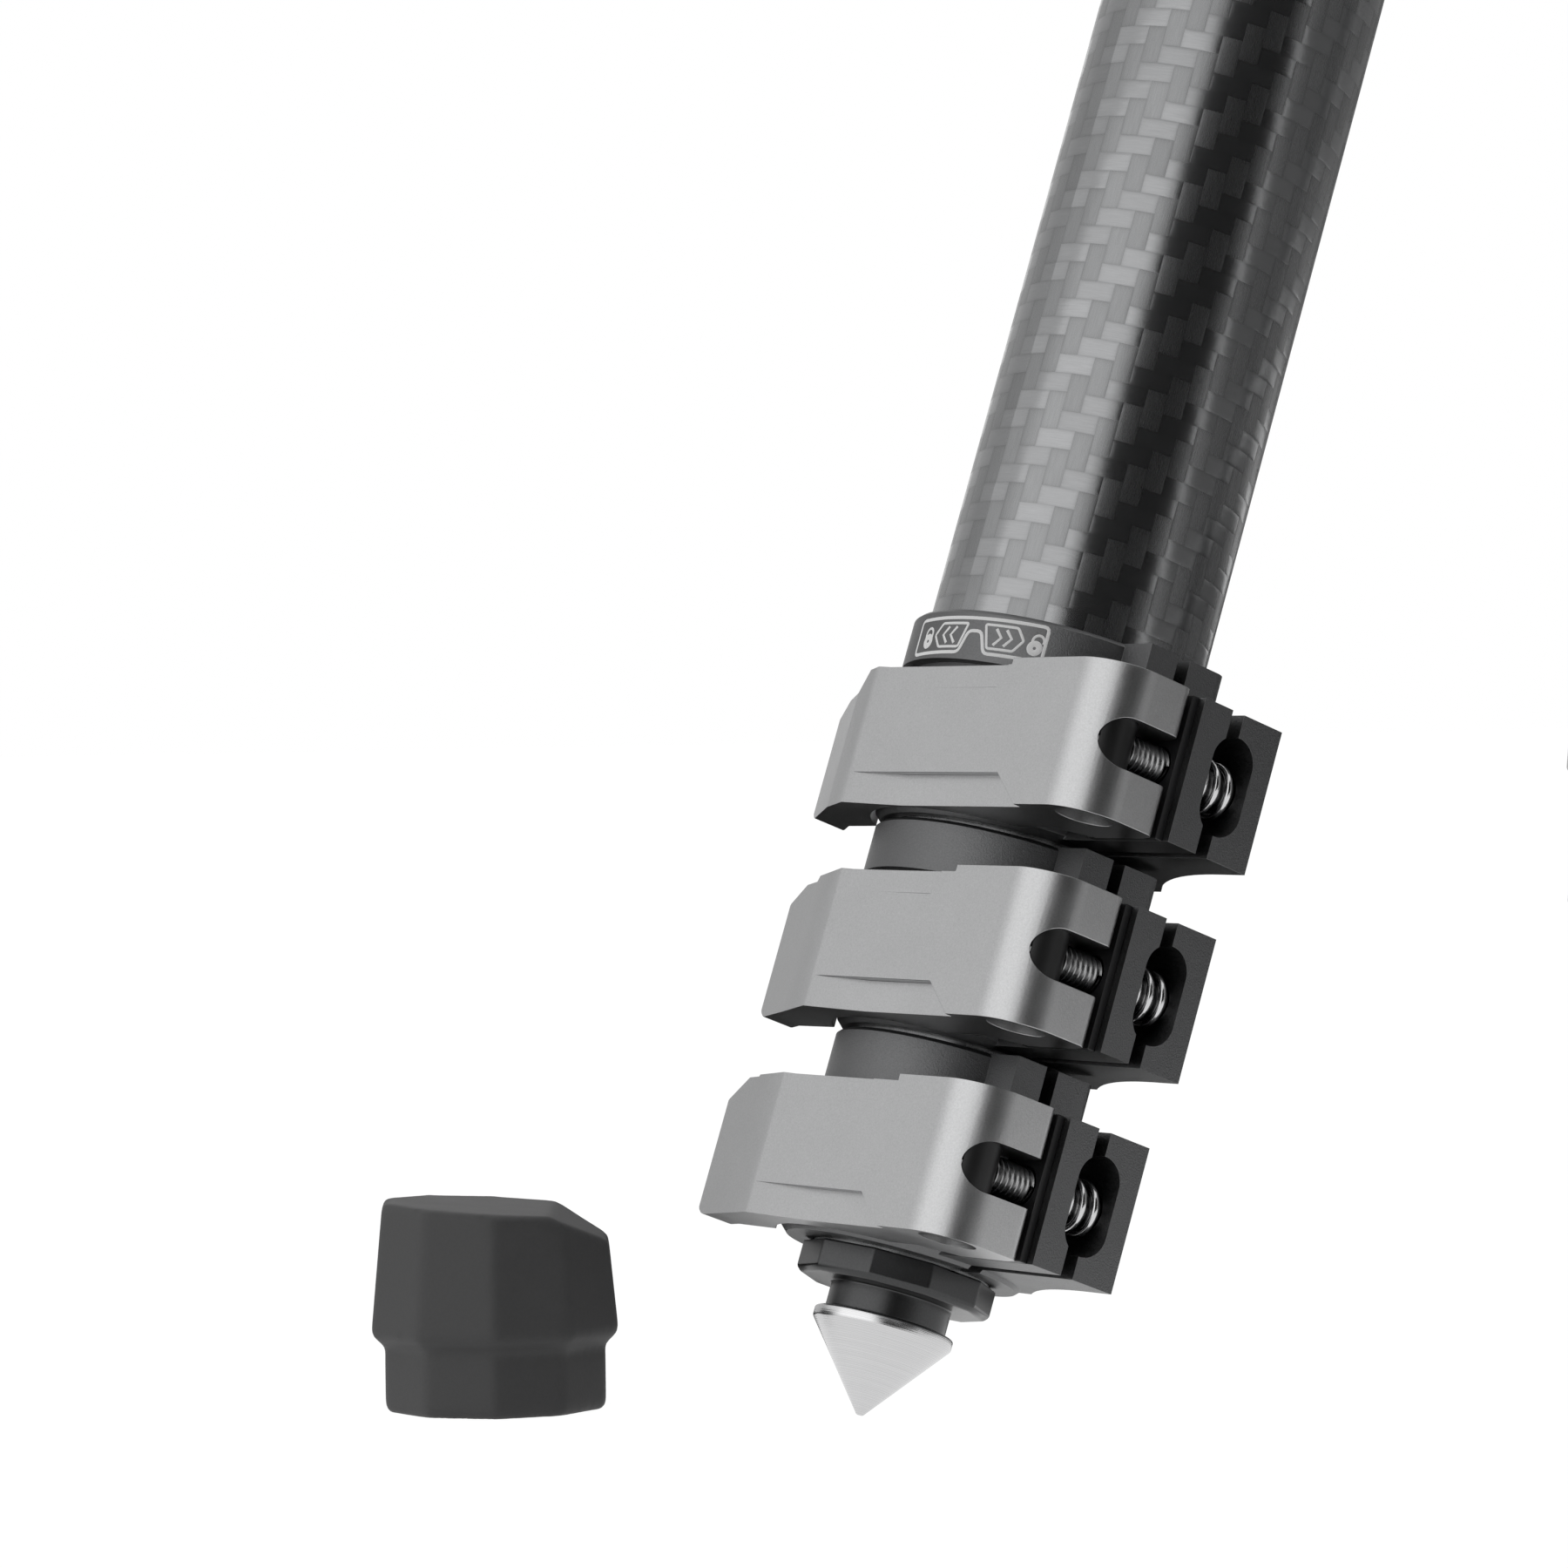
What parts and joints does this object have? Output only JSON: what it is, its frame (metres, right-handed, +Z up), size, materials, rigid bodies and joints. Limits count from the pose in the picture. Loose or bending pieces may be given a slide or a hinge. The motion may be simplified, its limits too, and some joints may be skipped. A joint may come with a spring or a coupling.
{
  "type": "video tripod",
  "caption": "Tripod with carbon telescopic legs, cam lever clamps, bare steel spikes with pulled-off rubber feet, and a levelling ball with a head screw.",
  "frame": {"origin": "centre of the head plate, where the head screw comes out of it", "axes": "+Z up along the head screw and the tripod axis; leg A stands out along -Y, leg B at 30 degrees and leg C at 150 degrees from +X"},
  "size_m": [0.4326, 0.4042, 0.4958],
  "materials": {
    "carbon": "satin clear coat over woven carbon",
    "black_aluminium": "fine bead-blasted black anodising",
    "silver_aluminium": "bead-blasted satin",
    "steel": "bright",
    "rubber": "matt",
    "knob_plastic": "fine grain",
    "bush_plastic": "plain"
  },
  "bodies": {
    "hub": {"hub": "black_aluminium", "hinge_pins": "steel"},
    "levelling_ball": {"levelling_ball": "black_aluminium", "head_screw": "steel", "cup_washer": "silver_aluminium"},
    "clamp_knob": {"clamp_knob": "knob_plastic"},
    "leg_a_upper": {"leg_a_tube_1": "carbon", "leg_a_knuckle": "black_aluminium", "leg_a_collar_1": "black_aluminium", "leg_a_barrel_nut_1": "steel", "leg_a_draw_bolt_1": "steel", "leg_a_pressure_plate_1": "black_aluminium", "leg_a_spring_1": "steel"},
    "leg_a_section_2": {"leg_a_tube_2": "carbon", "leg_a_guide_bush_2": "bush_plastic", "leg_a_collar_2": "black_aluminium", "leg_a_barrel_nut_2": "steel", "leg_a_draw_bolt_2": "steel", "leg_a_pressure_plate_2": "black_aluminium", "leg_a_spring_2": "steel"},
    "leg_a_section_3": {"leg_a_tube_3": "carbon", "leg_a_guide_bush_3": "bush_plastic", "leg_a_collar_3": "black_aluminium", "leg_a_barrel_nut_3": "steel", "leg_a_draw_bolt_3": "steel", "leg_a_pressure_plate_3": "black_aluminium", "leg_a_spring_3": "steel"},
    "leg_a_foot": {"leg_a_tube_4": "carbon", "leg_a_guide_bush_4": "bush_plastic", "leg_a_foot_fitting": "black_aluminium", "leg_a_spike": "steel"},
    "leg_a_lever_1": {"leg_a_lever_1": "silver_aluminium"},
    "leg_a_lever_2": {"leg_a_lever_2": "silver_aluminium"},
    "leg_a_lever_3": {"leg_a_lever_3": "silver_aluminium"},
    "leg_a_stop_latch": {"leg_a_stop_latch": "silver_aluminium"},
    "leg_a_rubber_foot": {"leg_a_rubber_foot": "rubber"},
    "leg_b_upper": {"leg_b_tube_1": "carbon", "leg_b_leg_top": "black_aluminium"},
    "leg_b_section_2": {"leg_b_tube_2": "carbon", "leg_b_clamp_2": "black_aluminium"},
    "leg_b_section_3": {"leg_b_tube_3": "carbon", "leg_b_clamp_3": "black_aluminium"},
    "leg_b_foot": {"leg_b_foot_section": "carbon"},
    "leg_b_lever_1": {"leg_b_lever_1": "silver_aluminium"},
    "leg_b_lever_2": {"leg_b_lever_2": "silver_aluminium"},
    "leg_b_lever_3": {"leg_b_lever_3": "silver_aluminium"},
    "leg_b_stop_latch": {"leg_b_stop_latch": "silver_aluminium"},
    "leg_b_rubber_foot": {"leg_b_rubber_foot": "rubber"},
    "leg_c_upper": {"leg_c_tube_1": "carbon", "leg_c_leg_top": "black_aluminium"},
    "leg_c_section_2": {"leg_c_tube_2": "carbon", "leg_c_clamp_2": "black_aluminium"},
    "leg_c_section_3": {"leg_c_tube_3": "carbon", "leg_c_clamp_3": "black_aluminium"},
    "leg_c_foot": {"leg_c_foot_section": "carbon"},
    "leg_c_lever_1": {"leg_c_lever_1": "silver_aluminium"},
    "leg_c_lever_2": {"leg_c_lever_2": "silver_aluminium"},
    "leg_c_lever_3": {"leg_c_lever_3": "silver_aluminium"},
    "leg_c_stop_latch": {"leg_c_stop_latch": "silver_aluminium"},
    "leg_c_rubber_foot": {"leg_c_rubber_foot": "rubber"}
  },
  "joints": [
    {"name": "ball_tilt", "type": "hinge", "parent": "hub", "child": "levelling_ball", "pos_m": [0, 0, -0.013], "axis": [1, 0, 0], "range_deg": [-8, 8]},
    {"name": "knob_turn", "type": "hinge", "parent": "levelling_ball", "child": "clamp_knob", "pos_m": [0, 0, -0.06], "axis": [0, 0, -1], "range_deg": [0, 360]},
    {"name": "leg_a_fold", "type": "hinge", "parent": "hub", "child": "leg_a_upper", "pos_m": [0, -0.048, -0.042], "axis": [-1, 0, 0], "range_deg": [-20, 0]},
    {"name": "leg_a_slide_2", "type": "slide", "parent": "leg_a_upper", "child": "leg_a_section_2", "axis": [0, -0.342, -0.9397], "range_m": [0, 0.305]},
    {"name": "leg_a_slide_3", "type": "slide", "parent": "leg_a_section_2", "child": "leg_a_section_3", "axis": [0, -0.342, -0.9397], "range_m": [0, 0.3226]},
    {"name": "leg_a_slide_4", "type": "slide", "parent": "leg_a_section_3", "child": "leg_a_foot", "axis": [0, -0.342, -0.9397], "range_m": [0, 0.3402]},
    {"name": "leg_a_lever_1_swing", "type": "hinge", "parent": "leg_a_upper", "child": "leg_a_lever_1", "pos_m": [0.0273, -0.19702, -0.41343], "axis": [0, 0.342, 0.9397], "range_deg": [0, 90]},
    {"name": "leg_a_lever_2_swing", "type": "hinge", "parent": "leg_a_section_2", "child": "leg_a_lever_2", "pos_m": [0.0255, -0.20475, -0.43467], "axis": [0, 0.342, 0.9397], "range_deg": [0, 90]},
    {"name": "leg_a_lever_3_swing", "type": "hinge", "parent": "leg_a_section_3", "child": "leg_a_lever_3", "pos_m": [0.0237, -0.21248, -0.4559], "axis": [0, 0.342, 0.9397], "range_deg": [0, 90]},
    {"name": "leg_a_latch_pull", "type": "slide", "parent": "leg_a_upper", "child": "leg_a_stop_latch", "axis": [0, -0.342, -0.9397], "range_m": [0, 0.004], "stiffness_N_per_m": 600, "springref_m": -0.004},
    {"name": "leg_a_rubber_foot_lift", "type": "slide", "parent": "hub", "child": "leg_a_rubber_foot", "axis": [0, 0, 1], "range_m": [0, 0.06]},
    {"name": "leg_b_fold", "type": "hinge", "parent": "hub", "child": "leg_b_upper", "pos_m": [0.04157, 0.024, -0.042], "axis": [0.5, -0.866, 0], "range_deg": [-20, 0]},
    {"name": "leg_b_slide_2", "type": "slide", "parent": "leg_b_upper", "child": "leg_b_section_2", "axis": [0.2962, 0.171, -0.9397], "range_m": [0, 0.305]},
    {"name": "leg_b_slide_3", "type": "slide", "parent": "leg_b_section_2", "child": "leg_b_section_3", "axis": [0.2962, 0.171, -0.9397], "range_m": [0, 0.3226]},
    {"name": "leg_b_slide_4", "type": "slide", "parent": "leg_b_section_3", "child": "leg_b_foot", "axis": [0.2962, 0.171, -0.9397], "range_m": [0, 0.3402]},
    {"name": "leg_b_lever_1_swing", "type": "hinge", "parent": "leg_b_upper", "child": "leg_b_lever_1", "pos_m": [0.15698, 0.12215, -0.41343], "axis": [-0.2962, -0.171, 0.9397], "range_deg": [0, 90]},
    {"name": "leg_b_lever_2_swing", "type": "hinge", "parent": "leg_b_section_2", "child": "leg_b_lever_2", "pos_m": [0.16457, 0.12446, -0.43467], "axis": [-0.2962, -0.171, 0.9397], "range_deg": [0, 90]},
    {"name": "leg_b_lever_3_swing", "type": "hinge", "parent": "leg_b_section_3", "child": "leg_b_lever_3", "pos_m": [0.17217, 0.12677, -0.4559], "axis": [-0.2962, -0.171, 0.9397], "range_deg": [0, 90]},
    {"name": "leg_b_latch_pull", "type": "slide", "parent": "leg_b_upper", "child": "leg_b_stop_latch", "axis": [0.2962, 0.171, -0.9397], "range_m": [0, 0.004], "stiffness_N_per_m": 600, "springref_m": -0.004},
    {"name": "leg_b_rubber_foot_lift", "type": "slide", "parent": "hub", "child": "leg_b_rubber_foot", "axis": [0, 0, 1], "range_m": [0, 0.06]},
    {"name": "leg_c_fold", "type": "hinge", "parent": "hub", "child": "leg_c_upper", "pos_m": [-0.04157, 0.024, -0.042], "axis": [0.5, 0.866, 0], "range_deg": [-20, 0]},
    {"name": "leg_c_slide_2", "type": "slide", "parent": "leg_c_upper", "child": "leg_c_section_2", "axis": [-0.2962, 0.171, -0.9397], "range_m": [0, 0.305]},
    {"name": "leg_c_slide_3", "type": "slide", "parent": "leg_c_section_2", "child": "leg_c_section_3", "axis": [-0.2962, 0.171, -0.9397], "range_m": [0, 0.3226]},
    {"name": "leg_c_slide_4", "type": "slide", "parent": "leg_c_section_3", "child": "leg_c_foot", "axis": [-0.2962, 0.171, -0.9397], "range_m": [0, 0.3402]},
    {"name": "leg_c_lever_1_swing", "type": "hinge", "parent": "leg_c_upper", "child": "leg_c_lever_1", "pos_m": [-0.18428, 0.07487, -0.41343], "axis": [0.2962, -0.171, 0.9397], "range_deg": [0, 90]},
    {"name": "leg_c_lever_2_swing", "type": "hinge", "parent": "leg_c_section_2", "child": "leg_c_lever_2", "pos_m": [-0.19007, 0.08029, -0.43467], "axis": [0.2962, -0.171, 0.9397], "range_deg": [0, 90]},
    {"name": "leg_c_lever_3_swing", "type": "hinge", "parent": "leg_c_section_3", "child": "leg_c_lever_3", "pos_m": [-0.19587, 0.08572, -0.4559], "axis": [0.2962, -0.171, 0.9397], "range_deg": [0, 90]},
    {"name": "leg_c_latch_pull", "type": "slide", "parent": "leg_c_upper", "child": "leg_c_stop_latch", "axis": [-0.2962, 0.171, -0.9397], "range_m": [0, 0.004], "stiffness_N_per_m": 600, "springref_m": -0.004},
    {"name": "leg_c_rubber_foot_lift", "type": "slide", "parent": "hub", "child": "leg_c_rubber_foot", "axis": [0, 0, 1], "range_m": [0, 0.06]}
  ]
}
